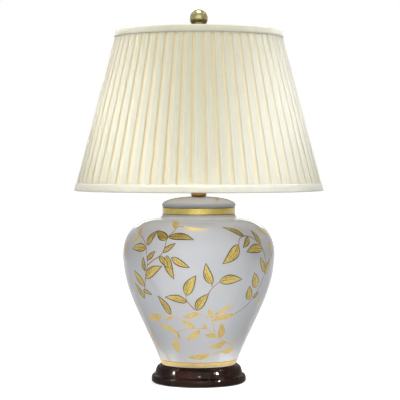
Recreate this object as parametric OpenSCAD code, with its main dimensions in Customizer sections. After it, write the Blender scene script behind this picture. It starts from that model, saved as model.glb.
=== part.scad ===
// Table lamp: a lidded porcelain jar on a turned wooden stand, with a harp,
// a lampholder, a bulb and a box-pleated empire shade held by a ball finial.
// Millimetres, +Z up. The origin is on the table, under the middle of the stand.

/* [Stand] */
// Diameter of the stand's lower bead
stand_d = 154; // [150:1:180]
// Height of the stand's top edge above the table
stand_h = 30.5; // [29:0.5:38]
// Diameter of the stand's upper moulding
stand_waist_d = 142; // [138:1:147]
// Height at which the lower bead ends in the cove
bead_h = 13; // [12:0.5:15]
// Thickness of the felt under the stand
felt_t = 1.5; // [1:0.5:3]
// Depth of the rebate that takes the jar's foot
seat_depth = 3.5; // [3:0.5:5]
// Diameter of the recess under the stand
recess_d = 48; // [40:1:54]
// Height of the recess ceiling above the table
recess_top = 15; // [14:0.5:18]
// Height of the cord hole above the table
cord_hole_z = 8; // [7.5:0.5:9]
// Bore of the cord bushing
cord_bore_d = 6.4; // [5:0.2:7]
// Wall of the cord bushing's barrel
bushing_wall = 1.2; // [1:0.1:1.5]
// Diameter of the cord bushing's flange
bushing_flange_d = 12; // [11:0.2:12.4]
// Length of the cord bushing's barrel inside the wood
bushing_barrel = 13.6; // [8:0.2:20]
// Thickness of the cork ring under the jar
gasket_t = 1.2; // [0.8:0.2:2]

/* [Jar] */
// Diameter of the jar's foot
foot_d = 120; // [112:1:126]
// Diameter at the widest point
belly_d = 247; // [210:0.2:290]
// Height of the widest point above the foot
belly_h = 178.8; // [150:0.2:190]
// Height of the jar from its foot to the neck's rim
jar_h = 257.4; // [245:0.2:280]
// Outer diameter of the neck
neck_d = 118; // [100:1:130]
// Height of the neck above the end of the shoulder
neck_h = 18.4; // [14:0.2:22]
// Thickness of the porcelain
jar_wall = 5; // [4:0.5:6]
// Thickness of the jar's floor
jar_floor = 7; // [6:0.5:10]
// How far the lid's edge stands out past the neck, on each side
lid_overhang = 1.2; // [0.5:0.1:3]
// Height of the lid above the neck's rim
lid_h = 16.9; // [16.5:0.2:28]
// Depth of the lid's locating skirt inside the neck
lid_skirt = 8; // [5:0.5:12]
// Thickness of the lid's locating skirt
lid_skirt_t = 4; // [3:0.5:5]
// Gap between the lid's skirt and the neck, on each side
lid_gap = 1; // [0.6:0.1:1.5]

/* [Centre rod and brass] */
// Outer diameter of the threaded centre rod
rod_d = 9.6; // [9:0.2:10.4]
// Bore of the centre rod
rod_bore_d = 6.4; // [5.6:0.2:7]
// Length of rod below the nut
rod_tail = 2.5; // [1:0.5:3]
// Thickness of the rod nut
nut_h = 5; // [3:0.5:5.5]
// Size of the rod nut across its flats
nut_af = 16; // [14:1:19]
// Diameter of the washer above the nut
washer_d = 32; // [26:1:38]
// Thickness of the washer above the nut
washer_t = 1.5; // [1:0.5:2]
// Diameter of the brass check ring on the lid
check_ring_d = 26; // [22:1:28]
// Height of the brass check ring
check_ring_h = 6; // [4:0.5:7]

/* [Harp] */
// Height of the harp, from the saddle's underside to the shade's seat
harp_h = 254; // [240:1:300]
// Widest distance between the centres of the harp's sides
harp_w = 116; // [100:1:130]
// Diameter of the harp wire
harp_wire_d = 3.6; // [3.2:0.1:4]
// Distance between the centres of the harp's legs
leg_span = 57; // [54:1:64]
// Straight length of each leg above the saddle's post
leg_straight = 28; // [26:1:34]
// Height over which the harp swells to its full width
harp_swell = 66; // [60:1:80]
// Width of the saddle strip
saddle_w = 10; // [8:1:12]
// Thickness of the saddle strip
saddle_t = 1.6; // [1.2:0.2:2.4]
// Height of the saddle's posts above the strip
post_h = 8; // [6:0.5:9]
// Length of each locking sleeve
sleeve_h = 16; // [13:0.5:16]
// Wall of each locking sleeve
sleeve_wall = 1.1; // [0.8:0.1:1.4]
// Length of the shade stud above its seat
stud_l = 15; // [13:0.5:17]
// Diameter of the shade stud's thread
stud_d = 6.3; // [6:0.1:6.5]
// Diameter of the seat flange on the shade stud
stud_flange_d = 12; // [10:0.5:14]

/* [Lampholder] */
// Outer diameter of the lampholder shell
shell_d = 32.4; // [32:0.2:34]
// Height of the lampholder above the saddle
holder_h = 62; // [60:0.5:66]
// Height of the lower cap's rim above the saddle
cap_h = 23; // [21:0.5:25]
// Thickness of the brass sheet
brass_t = 0.7; // [0.5:0.1:0.9]
// Thickness of the paper liner
liner_t = 0.6; // [0.4:0.1:0.8]
// Inner diameter of the screw shell
screw_shell_d = 26.4; // [26.2:0.1:26.6]
// Height of the switch spindle above the saddle
switch_z = 29; // [28:0.5:30]
// Distance the switch spindle stands out of the shell
spindle_out = 9; // [7:0.5:14]
// Diameter of the switch spindle
spindle_d = 3.2; // [2.6:0.1:3.6]
// Width of the switch key's paddle
key_w = 15; // [12:0.5:17]
// Depth of the switch key's paddle
key_l = 10; // [9:0.5:14]

/* [Bulb] */
// Diameter of the bulb's glass
bulb_d = 60; // [55:1:66]
// Length of the bulb from its contact to its crown
bulb_l = 105; // [100:1:115]
// Outer diameter of the bulb's screw cap
bulb_cap_d = 25.9; // [25.6:0.1:26]
// Thickness of the glass
glass_t = 1; // [0.8:0.1:1.4]

/* [Shade] */
// Outer diameter of the shade at its top edge
shade_top_d = 270; // [240:1:300]
// Outer diameter of the shade at its bottom edge
shade_bottom_d = 406; // [360:1:440]
// Height of the shade
shade_h = 259; // [250:1:280]
// Distance of the fitter's hub below the shade's top edge
fitter_drop = 5; // [4.5:0.5:8]
// Diameter of the fitter's hub
hub_d = 24; // [20:1:30]
// Thickness of the fitter's hub
hub_t = 3.4; // [3.2:0.1:4]
// Diameter of the frame's ring wires
ring_wire_d = 3; // [2.4:0.1:3.4]
// Diameter of the frame's rib wires
rib_wire_d = 2.4; // [2:0.1:2.6]
// Number of ribs
ribs = 8; // [6:1:12]
// Number of box pleats round the shade
pleats = 60; // [48:4:72]
// Depth of the pleats
pleat_depth = 1.8; // [1:0.1:2.4]
// Share of each pleat that is the raised flat
pleat_flat = 0.66; // [0.5:0.01:0.75]
// Thickness of the fabric
cloth_t = 0.6; // [0.4:0.1:0.8]
// Width of the top binding
top_trim_w = 11; // [8:0.5:16]
// Width of the bottom binding
bottom_trim_w = 12.5; // [9:0.5:18]
// Thickness of the bindings
trim_t = 0.8; // [0.6:0.1:1]

/* [Finial] */
// Diameter of the finial's ball
ball_d = 30; // [24:0.5:36]
// Height of the finial's turned base, up to the ball
finial_base_h = 12; // [10.5:0.5:16]
// Diameter of the finial's foot
finial_foot_d = 16; // [14:0.5:20]
// Diameter of the finial's neck
finial_neck_d = 12; // [11.5:0.5:14]

/* [Hidden] */
$fn = 96;

// Clearances
slip = 0.1;         // between pieces that are only laid together
thread_gap = 0.1;   // round the rod in a nut or cap
run_gap = 0.05;     // round a piece that turns or slides
hole_gap = 0.5;     // round the rod in wood and porcelain
body_gap = 0.2;     // between pieces that move on each other

// Levels above the table
seat_z = stand_h - seat_depth;
jar_z = seat_z + gasket_t;
belly_z = jar_z + belly_h;
rim_z = jar_z + jar_h;
lid_top_z = rim_z + lid_h;
saddle_z = lid_top_z + check_ring_h;
holder_z = saddle_z + saddle_t;
stud_seat_z = saddle_z + harp_h;
hub_z = stud_seat_z + body_gap;
hub_top_z = hub_z + hub_t;
shade_top_z = hub_top_z + fitter_drop;
shade_bottom_z = shade_top_z - shade_h;
finial_z = hub_top_z + body_gap;

// Radii
rod_r = rod_d / 2;
stand_r = stand_d / 2;
waist_r = stand_waist_d / 2;
foot_r = foot_d / 2;
belly_r = belly_d / 2;
neck_r = neck_d / 2;
lid_r = neck_r + lid_overhang;
lid_flat_r = check_ring_d / 2 + 1.5;
wire_r = harp_wire_d / 2;
shell_r = shell_d / 2;
cap_r = shell_r + slip + brass_t;
liner_r = shell_r - brass_t - slip;
bore_of_liner = liner_r - liner_t;
screw_r = screw_shell_d / 2;
ring_r = ring_wire_d / 2;
rib_r = rib_wire_d / 2;

// Lampholder levels
cap_floor_h = 5;
carrier_rise = 15;  // from the saddle to the carrier's flange
carrier_h = 21;
notch_h = 14;       // from the flange to the middle of the terminals
cap_floor_z = holder_z + cap_floor_h;
carrier_z = holder_z + carrier_rise;
carrier_top_z = carrier_z + carrier_h;
contact_rise = 2.6;
bulb_z = carrier_top_z + contact_rise + body_gap;
contact_h = 1.2;
insulator_h = 4;
cap_l = 23;
glass_z = bulb_z + contact_h + insulator_h + cap_l;

// Layers of the shade, as level distances out from the centres of the ring wires.
// The slanted layers stand further out from a round wire than level ones would.
slant = sqrt(1 + pow((shade_bottom_d - shade_top_d) / 2 / shade_h, 2));
lining_out = -(ring_r + slip) * slant;
lining_in = lining_out - cloth_t;
cover_in = (ring_r + slip) * slant + slip;
valley_out = cover_in + cloth_t;
flat_out = valley_out + pleat_depth;
trim_out = flat_out + slip + trim_t;
trim_in = lining_in - slip - trim_t;
binding_turn = 8;   // how far the bindings turn up inside the shade

// Points on a cubic Bezier curve after its start
function bezier(a, b, c, d, n = 14) =
    [for (i = [1:n]) let (t = i / n, s = 1 - t)
        s * s * s * a + 3 * s * s * t * b + 3 * s * t * t * c + t * t * t * d];

// Points on an ellipse between two angles
function arc(centre, rx, rz, from, to, n = 8) =
    [for (i = [0:n]) let (a = from + (to - from) * i / n)
        centre + [rx * cos(a), rz * sin(a)]];

// An upward outline moved inward by t along its normals
function inset(p, t) =
    [for (i = [0:len(p) - 1])
        let (d = p[min(i + 1, len(p) - 1)] - p[max(i - 1, 0)])
        p[i] + t * [-d[1], d[0]] / norm(d)];

function reversed(p) = [for (i = [len(p) - 1:-1:0]) p[i]];

// A ring turned from a rectangle
module collar(r_in, r_out, z0, z1) {
    difference() {
        translate([0, 0, z0]) cylinder(r = r_out, h = z1 - z0);
        translate([0, 0, z0 - 1]) cylinder(r = r_in, h = z1 - z0 + 2);
    }
}

// Stand

bushing_r = cord_bore_d / 2 + bushing_wall;
flange_t = 1.8;
spot_y = stand_r - 1.4;
rebate_gap = 1.2;
felt_inset = 2.5;
cove_h = 4;
top_round = 3;      // rounding of the upper moulding and of the lower bead

module felt_pad() {
    color("darkgreen") cylinder(r = stand_r - felt_inset, h = felt_t);
}

// The outline of the turned stand, from its underside to its top edge
function stand_outline() = concat(
    [[0, felt_t], [stand_r - 1, felt_t], [stand_r, felt_t + 1]],
    arc([stand_r - top_round, bead_h - 6], top_round, 6, 0, 90, 6),
    arc([stand_r - top_round, bead_h + cove_h], stand_r - top_round - waist_r, cove_h,
        270, 180, 6),
    arc([waist_r - top_round, bead_h + cove_h + 0.5], top_round,
        stand_h - bead_h - 2 * cove_h - 0.5, 0, 50, 5),
    bezier([waist_r - 1.9, stand_h - 5.4], [waist_r - 3, stand_h - 4.4],
           [foot_r + 5, stand_h - 2], [foot_r + rebate_gap + 0.6, stand_h], 5),
    [[0, stand_h]]);

module wood_stand() {
    color([0.16, 0.07, 0.05]) difference() {
        rotate_extrude() polygon(stand_outline());
        translate([0, 0, seat_z]) cylinder(r = foot_r + rebate_gap, h = seat_depth + 1);
        translate([0, 0, -1]) cylinder(d = recess_d, h = recess_top + 1);
        cylinder(r = rod_r + hole_gap, h = stand_h);
        translate([0, 0, cord_hole_z]) rotate([-90, 0, 0])
            cylinder(r = bushing_r + slip, h = stand_r + 1);
        translate([0, spot_y, cord_hole_z]) rotate([-90, 0, 0])
            cylinder(r = bushing_flange_d / 2 + slip, h = 4);
    }
}

module cord_bushing() {
    color("black") translate([0, spot_y, cord_hole_z]) rotate([-90, 0, 0])
        difference() {
            union() {
                translate([0, 0, -bushing_barrel]) cylinder(r = bushing_r, h = bushing_barrel);
                cylinder(d = bushing_flange_d, h = flange_t);
            }
            translate([0, 0, -bushing_barrel - 1])
                cylinder(d = cord_bore_d, h = bushing_barrel + flange_t + 2);
        }
}

module rod_washer() {
    color("silver") collar(rod_r + thread_gap, washer_d / 2, recess_top - washer_t, recess_top);
}

module rod_nut() {
    top = recess_top - washer_t;
    color("silver") difference() {
        translate([0, 0, top - nut_h]) cylinder(d = nut_af / cos(30), h = nut_h, $fn = 6);
        translate([0, 0, top - nut_h - 1]) cylinder(r = rod_r + thread_gap, h = nut_h + 2);
    }
}

module centre_rod() {
    bottom = recess_top - washer_t - nut_h - rod_tail;
    color("silver") collar(rod_bore_d / 2, rod_r, bottom, cap_floor_z + 4);
}

// Jar and lid

gasket_w = 10;

module foot_gasket() {
    color("peru") collar(foot_r - 1 - gasket_w, foot_r - 1, seat_z, jar_z);
}

// The jar's outside: foot to belly, belly to shoulder, then the fillet and the neck
function jar_outline() =
    let (foot = [foot_r, jar_z],
         belly = [belly_r, belly_z],
         swell = belly_r - foot_r,
         shoulder = [neck_r + 10, rim_z - neck_h],
         crown = shoulder[1] - belly_z)
    concat(
        [foot],
        bezier(foot, foot + [0.465 * swell, 0.43 * belly_h],
               belly - [0, 0.33 * belly_h], belly, 12),
        bezier(belly, belly + [0, 0.53 * crown],
               [neck_r + 0.75 * (belly_r - neck_r), belly_z + 0.95 * crown], shoulder, 10),
        bezier(shoulder, shoulder + [-6.5, 1.1],
               [neck_r - 0.4, shoulder[1] + 4.3], [neck_r - 0.2, shoulder[1] + 9.8], 5),
        [[neck_r, rim_z - 0.8], [neck_r - 0.8, rim_z]]);

module jar() {
    floor_z = jar_z + jar_floor;
    outside = jar_outline();
    inside = [for (p = inset(outside, jar_wall)) if (p[1] > floor_z + 2 && p[1] < rim_z - 2) p];
    color([0.85, 0.86, 0.88]) difference() {
        rotate_extrude() polygon(concat(
            [[0, jar_z]],
            outside,
            [[neck_r - jar_wall, rim_z]],
            reversed(inside),
            [[inside[0][0] - 0.3 * (inside[0][1] - floor_z), floor_z], [0, floor_z]]));
        translate([0, 0, jar_z - 1]) cylinder(r = rod_r + hole_gap, h = jar_floor + 2);
    }
}

// The lid's outside, from its edge up to the flat under the check ring
function lid_outline() =
    let (edge = [lid_r, rim_z + 3],
         top = [lid_flat_r, lid_top_z])
    concat(
        [edge],
        bezier(edge, edge + [0, 0.38 * lid_h],
               [0.78 * lid_r, lid_top_z - 0.1 * lid_h], top, 12));

module jar_lid() {
    skirt_r = neck_r - jar_wall - lid_gap;
    outside = lid_outline();
    inside = [for (p = inset(outside, jar_wall))
                 if (p[0] < skirt_r - lid_skirt_t && p[0] > 0.3 * lid_r) p];
    under_z = lid_top_z - jar_wall;
    color([0.85, 0.86, 0.88]) difference() {
        rotate_extrude() polygon(concat(
            [[skirt_r, rim_z - lid_skirt], [skirt_r, rim_z], [lid_r - 1.2, rim_z],
             [lid_r - 0.3, rim_z + 1]],
            outside,
            [[0, lid_top_z], [0, under_z]],
            reversed(inside),
            [[skirt_r - lid_skirt_t, rim_z + 1], [skirt_r - lid_skirt_t, rim_z - lid_skirt]]));
        translate([0, 0, under_z - 2]) cylinder(r = rod_r + hole_gap, h = jar_wall + 3);
    }
}

module check_ring() {
    bead_r = check_ring_h / 2;
    color("gold") difference() {
        union() {
            translate([0, 0, lid_top_z])
                cylinder(r = check_ring_d / 2 - bead_r, h = check_ring_h);
            translate([0, 0, lid_top_z + bead_r])
                rotate_extrude() translate([check_ring_d / 2 - bead_r, 0]) circle(r = bead_r);
        }
        translate([0, 0, lid_top_z - 1]) cylinder(r = rod_r + hole_gap, h = check_ring_h + 2);
    }
}

// Harp

leg_x = leg_span / 2;
post_top_z = holder_z + post_h;
leg_z = post_top_z + body_gap;
swell_z = leg_z + leg_straight;
boss_proud = 0.4;                          // how far the boss stands past the wire
boss_h = harp_wire_d + 2 * boss_proud;     // height of the crown's boss
boss_r = 5;
rivet_r = 2;                               // radius of the stud inside the boss
rivet_head_r = 3.2;
stud_flange_t = 2;
crown_z = stud_seat_z - stud_flange_t - boss_h / 2;    // wire's centre at the crown
knuckle_gap = 0.1;

module harp_saddle() {
    color("gold") difference() {
        union() {
            translate([0, 0, saddle_z + saddle_t / 2])
                cube([leg_span, saddle_w, saddle_t], center = true);
            for (side = [-1, 1]) translate([side * leg_x, 0, saddle_z]) {
                cylinder(d = saddle_w, h = saddle_t);
                cylinder(r = wire_r, h = saddle_t + post_h);
            }
        }
        translate([0, 0, saddle_z - 1]) cylinder(r = rod_r + thread_gap, h = saddle_t + 2);
    }
}

// A bend of wire in the XZ plane: it starts at the origin going up and turns by a to +X.
// Each end stops just short, inside the knuckle at the joint.
module bend(r, a) {
    short = knuckle_gap * 180 / (PI * r);
    translate([r, 0, 0]) rotate([90, 0, 0]) rotate([0, 0, 180 - a + short])
        rotate_extrude(angle = a - 2 * short) translate([r, 0]) circle(r = wire_r, $fn = 32);
}

module knuckle(x, z) {
    translate([x, 0, z]) sphere(r = wire_r + 0.05, $fn = 48);
}

// One side of the harp, from its leg to the middle of the crown.
// Two equal bends swell it out, then a slow bend and a tight bend close it.
module harp_side() {
    out = harp_w / 2 - leg_x;
    swell_a = 2 * atan(out / harp_swell);
    swell_r = harp_swell / sin(swell_a) / 2;
    lean = 30;
    top_z = swell_z + harp_swell;
    rise = crown_z - top_z;
    half_w = harp_w / 2;
    // slow_r * (1 - cos lean) + tight_r * cos lean = half_w, and
    // slow_r * sin lean + tight_r * (1 - sin lean) = rise
    slow_r = (half_w * (1 - sin(lean)) - rise * cos(lean))
             / ((1 - cos(lean)) * (1 - sin(lean)) - sin(lean) * cos(lean));
    tight_r = (rise - slow_r * sin(lean)) / (1 - sin(lean));
    lean_x = half_w - slow_r * (1 - cos(lean));
    lean_z = top_z + slow_r * sin(lean);
    translate([leg_x, 0, leg_z]) cylinder(r = wire_r, h = leg_straight - knuckle_gap, $fn = 32);
    knuckle(leg_x, swell_z);
    translate([leg_x, 0, swell_z]) bend(swell_r, swell_a);
    knuckle(leg_x + out / 2, swell_z + harp_swell / 2);
    translate([half_w, 0, top_z]) rotate([0, 180, 0]) bend(swell_r, swell_a);
    knuckle(half_w, top_z);
    translate([half_w, 0, top_z]) mirror([1, 0, 0]) bend(slow_r, lean);
    knuckle(lean_x, lean_z);
    translate([lean_x, 0, lean_z]) mirror([1, 0, 0]) rotate([0, lean, 0])
        bend(tight_r, 90 - lean);
}

module harp_wire() {
    color("gold") difference() {
        union() {
            harp_side();
            mirror([1, 0, 0]) harp_side();
            translate([0, 0, crown_z - boss_h / 2]) cylinder(r = boss_r, h = boss_h);
        }
        translate([0, 0, crown_z - boss_h / 2 - 1]) cylinder(r = rivet_r + slip, h = boss_h + 2);
    }
}

module shade_stud() {
    under_z = crown_z - boss_h / 2;
    color("gold") {
        translate([0, 0, under_z - 1]) cylinder(r = rivet_head_r, h = 1);
        translate([0, 0, under_z - 1]) cylinder(r = rivet_r, h = boss_h + 2);
        translate([0, 0, under_z + boss_h]) cylinder(d = stud_flange_d, h = stud_flange_t);
        translate([0, 0, stud_seat_z - 1]) cylinder(d = stud_d, h = stud_l + 1);
    }
}

module harp_sleeve(side) {
    bore_r = wire_r + slip;
    color("gold") translate([side * leg_x, 0, 0])
        collar(bore_r, bore_r + sleeve_wall, holder_z + body_gap, holder_z + body_gap + sleeve_h);
}

// Lampholder

module socket_cap() {
    rim_top = holder_z + cap_h;
    color("gold") difference() {
        rotate_extrude() polygon(concat(
            [[0, holder_z], [7.5, holder_z], [7.5, cap_floor_z]],
            bezier([7.5, cap_floor_z], [cap_r - 3, cap_floor_z],
                   [cap_r, cap_floor_z + 4], [cap_r, cap_floor_z + 10], 8),
            [[cap_r, rim_top], [cap_r - brass_t, rim_top], [cap_r - brass_t, cap_floor_z + 10]],
            reversed(bezier([9.6, cap_floor_z + 2], [cap_r - brass_t - 2, cap_floor_z + 2],
                            [cap_r - brass_t, cap_floor_z + 5],
                            [cap_r - brass_t, cap_floor_z + 10], 8)),
            [[9.6, cap_floor_z + 2], [0, cap_floor_z + 2]]));
        translate([0, 0, holder_z - 1]) cylinder(r = rod_r + thread_gap, h = 12);
        translate([0, 0, holder_z + 2.6]) rotate([-90, 0, 0]) cylinder(r = 1.5 + slip, h = 9);
    }
}

module cap_set_screw() {
    color("silver") translate([0, rod_r + slip, holder_z + 2.6]) rotate([-90, 0, 0])
        cylinder(r = 1.5, h = 4.4);
}

// Moulded body that carries the switch and the contacts, on a spigot in the cap
module socket_interior() {
    carrier_r = bore_of_liner - 0.3;
    color("saddlebrown") difference() {
        union() {
            translate([0, 0, cap_floor_z + 2]) cylinder(r = 9.5, h = carrier_z - cap_floor_z - 1);
            translate([0, 0, carrier_z]) cylinder(r = carrier_r, h = carrier_top_z - carrier_z);
        }
        translate([0, 0, cap_floor_z]) cylinder(r = rod_r + 1, h = 8);
        for (side = [-1, 1]) translate([side * (carrier_r + 4.5 - 3.5), 0, carrier_z + notch_h])
            cube([9, 8, 8], center = true);
        for (side = [-1, 1]) translate([side * 5, 0, carrier_z + notch_h]) rotate([0, side * 90, 0])
            cylinder(r = 1.4 + slip, h = 12);
        translate([0, 0, holder_z + switch_z]) rotate([90, 0, 0])
            translate([0, 0, carrier_r - 8]) cylinder(r = spindle_d / 2 + run_gap, h = 12);
    }
}

module terminal_screws() {
    notch_x = bore_of_liner - 0.3 - 3.5;
    color("gold") for (side = [-1, 1])
        translate([side * notch_x, 0, carrier_z + notch_h]) rotate([0, side * 90, 0]) {
            cylinder(r = 2.8, h = 1.8);
            translate([0, 0, -4.5]) cylinder(r = 1.4, h = 5);
        }
}

// Hole for the switch spindle in a tube of the lampholder
module spindle_hole(r) {
    translate([0, 0, holder_z + switch_z]) rotate([90, 0, 0]) cylinder(r = r, h = shell_r + 3);
}

module socket_liner() {
    color("tan") difference() {
        collar(bore_of_liner, liner_r, carrier_z, holder_z + holder_h - 2);
        spindle_hole(3);
    }
}

module socket_shell() {
    top = holder_z + holder_h;
    color("gold") difference() {
        union() {
            collar(shell_r - brass_t, shell_r, holder_z + cap_h - 6, top - 1);
            translate([0, 0, top - 1]) rotate_extrude()
                translate([shell_r - brass_t / 2, 0]) circle(r = 1, $fn = 32);
        }
        spindle_hole(3.4);
    }
}

module screw_shell() {
    color("goldenrod") {
        collar(screw_r, screw_r + 0.5, carrier_top_z, holder_z + holder_h - 3);
        collar(6, screw_r + 0.2, carrier_top_z, carrier_top_z + 0.5);
    }
}

// A spring strip: a flat foot, a riser and a lip under the bulb's contact
module centre_contact() {
    t = 0.5;
    color("goldenrod") translate([0, 2.5, carrier_top_z]) rotate([90, 0, 0]) linear_extrude(5)
        polygon([[-4, 0], [3.6, 0], [5.3, contact_rise], [-4, contact_rise],
                 [-4, contact_rise - t], [4.5, contact_rise - t], [3.2, t], [-4, t]]);
}

module switch_spindle() {
    reach = shell_r + spindle_out;
    inner = bore_of_liner - 0.3 - 7.5;
    color("gold") translate([0, -inner, holder_z + switch_z]) rotate([90, 0, 0])
        cylinder(d = spindle_d, h = reach - inner);
}

// A turn key: a round hub with a flat paddle that ends in a half circle
module switch_key() {
    root = shell_r + spindle_out - 5;
    paddle_t = 3;
    straight = key_l - key_w / 2;
    color("black") translate([0, -root, holder_z + switch_z]) rotate([90, 0, 0]) difference() {
        union() {
            cylinder(r = 4, h = 7);
            translate([0, 0, 6]) rotate([90, 0, 0]) translate([0, 0, -paddle_t / 2])
                linear_extrude(paddle_t) difference() {
                    union() {
                        translate([-key_w / 2, 0]) square([key_w, straight]);
                        translate([0, straight]) circle(d = key_w);
                    }
                    translate([-key_w, -key_w]) square([2 * key_w, key_w]);
                }
        }
        translate([0, 0, -1]) cylinder(r = spindle_d / 2 + slip, h = 6 + slip);
    }
}

// Bulb

module bulb_contact() {
    color("silver") translate([0, 0, bulb_z]) cylinder(r = 4.4, h = contact_h);
}

module bulb_insulator() {
    z = bulb_z + contact_h + run_gap;
    color("black") translate([0, 0, z]) cylinder(r1 = 4.6, r2 = 9, h = insulator_h - run_gap);
}

// A screw cap with its thread drawn as shallow rolls, closed at the bottom by a cone
module bulb_cap() {
    z = bulb_z + contact_h + insulator_h;
    crest = bulb_cap_d / 2;
    rolls = 4;
    pitch = 3.63;
    color("silver") difference() {
        rotate_extrude() polygon(concat(
            [[0, z], [9, z], [crest - 1, z + 3]],
            [for (i = [0:rolls - 1], j = [0:5])
                let (a = 60 * j)
                [crest - 0.5 + 0.5 * sin(a), z + 3.8 + (i + j / 6) * pitch]],
            [[crest, z + cap_l - 3], [crest, z + cap_l], [0, z + cap_l]]));
        translate([0, 0, z + 4]) cylinder(r = crest - 1.8, h = cap_l);
    }
}

// The glass: a neck in the cap that swells into the round envelope
function glass_outline() =
    let (neck = bulb_cap_d / 2 + 0.8,
         r = bulb_d / 2,
         crown = bulb_z + bulb_l,
         middle = crown - r)
    concat(
        [[neck - 0.8, glass_z]],
        bezier([neck, glass_z + 1], [neck + 0.8, glass_z + 14],
               [r, middle - 0.62 * r], [r, middle], 14),
        [for (i = [1:11]) [r * cos(i * 7.5), middle + r * sin(i * 7.5)]]);

module bulb_glass() {
    outside = glass_outline();
    crown = bulb_z + bulb_l;
    inside = [for (p = inset(outside, glass_t)) if (p[1] > glass_z + glass_t) p];
    color("ivory") rotate_extrude() polygon(concat(
        [[0, glass_z]], outside, [[0, crown], [0, crown - glass_t]],
        reversed(inside), [[inside[0][0] - 0.8, glass_z + glass_t], [0, glass_z + glass_t]]));
}

// Shade

// Radius of the frame's surface, through the ring wires' centres, at a height
function frame_r(z) =
    let (bottom = shade_bottom_d / 2 - trim_out,
         top = shade_top_d / 2 - trim_out)
    bottom + (top - bottom) * (z - shade_bottom_z) / shade_h;

bottom_ring_z = shade_bottom_z + trim_t + slip + ring_r;
top_ring_z = shade_top_z - trim_t - slip - ring_r;

module frame_ring(z) {
    translate([0, 0, z]) rotate_extrude() translate([frame_r(z), 0]) circle(r = ring_r, $fn = 32);
}

module shade_top_ring() {
    color("gold") frame_ring(top_ring_z);
}

module shade_bottom_ring() {
    color("gold") frame_ring(bottom_ring_z);
}

// A straight wire between two points of the XZ plane, stopped short of each by its own gap
module strut(a, b, r, gap_a, gap_b) {
    d = b - a;
    translate([a[0], 0, a[1]]) rotate([0, atan2(d[0], d[1]), 0]) translate([0, 0, gap_a])
        cylinder(r = r, h = norm(d) - gap_a - gap_b, $fn = 32);
}

module shade_ribs() {
    stop = ring_r + slip;
    color("gold") for (i = [0:ribs - 1]) rotate([0, 0, (i + 0.5) * 360 / ribs])
        strut([frame_r(bottom_ring_z), bottom_ring_z], [frame_r(top_ring_z), top_ring_z],
              rib_r, stop, stop);
}

arm_r = 1.5;

module arms(r) {
    for (i = [0:2]) rotate([0, 0, 90 + i * 120])
        strut([0, hub_z + hub_t / 2], [frame_r(top_ring_z), top_ring_z],
              r, hub_d / 2 + slip, ring_r + slip);
}

module fitter_arms() {
    color("gold") arms(arm_r);
}

module fitter_hub() {
    color("gold") collar(stud_d / 2 + run_gap, hub_d / 2, hub_z, hub_top_z);
}

module shade_lining() {
    z0 = shade_bottom_z + trim_t + slip;
    z1 = shade_top_z - trim_t - slip;
    color("ivory") difference() {
        rotate_extrude() polygon([
            [frame_r(z0) + lining_in, z0], [frame_r(z0) + lining_out, z0],
            [frame_r(z1) + lining_out, z1], [frame_r(z1) + lining_in, z1]]);
        arms(arm_r + hole_gap);
    }
}

// One folded fabric tube with a raised flat and a valley in each pleat. Every pleat has
// four corners outside, and as many inside, at the bottom edge and again at the top edge.
module pleated_cover() {
    z0 = shade_bottom_z + trim_t + slip;
    z1 = shade_top_z - trim_t - slip;
    pitch = 360 / pleats;
    fold = 0.04;
    outer = [[0, flat_out], [pleat_flat, flat_out],
             [pleat_flat + fold, valley_out], [1 - fold, valley_out]];
    inner = [[fold, flat_out - cloth_t], [pleat_flat - fold, flat_out - cloth_t],
             [pleat_flat, cover_in], [1, cover_in]];
    n = 4 * pleats;
    function loop(z, corners) =
        [for (i = [0:pleats - 1], c = corners)
            let (r = frame_r(z) + c[1], a = (i + c[0] - pleat_flat / 2) * pitch)
            [r * cos(a), r * sin(a), z]];
    function strip(a, b) =
        [for (i = [0:n - 1], half = [0, 1]) let (j = (i + 1) % n)
            half == 0 ? [a + i, b + i, b + j] : [a + i, b + j, a + j]];
    color("ivory") polyhedron(
        concat(loop(z0, outer), loop(z1, outer), loop(z1, inner), loop(z0, inner)),
        concat(strip(0, n), strip(n, 2 * n), strip(2 * n, 3 * n), strip(3 * n, 0)));
}

// A binding folded over one edge of the shade: outside, across the edge and inside.
// inward is 1 at the bottom edge and -1 at the top edge.
module binding(edge_z, inward, width) {
    function at(off, depth) = let (z = edge_z + inward * depth) [frame_r(z) + off, z];
    rotate_extrude() polygon([
        at(trim_out, 0), at(trim_out, width), at(trim_out - trim_t, width),
        at(trim_out - trim_t, trim_t), at(trim_in + trim_t, trim_t),
        at(trim_in + trim_t, binding_turn), at(trim_in, binding_turn), at(trim_in, 0)]);
}

module top_trim() {
    color("beige") difference() {
        binding(shade_top_z, -1, top_trim_w);
        arms(arm_r + hole_gap);
    }
}

module bottom_trim() {
    color("beige") binding(shade_bottom_z, 1, bottom_trim_w);
}

// Finial

insert_wall = 1.2;
insert_h = 9;
insert_r = stud_d / 2 + run_gap + insert_wall;

module finial_insert() {
    color("goldenrod") collar(stud_d / 2 + run_gap, insert_r,
                              finial_z + 0.5, finial_z + 0.5 + insert_h);
}

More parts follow.
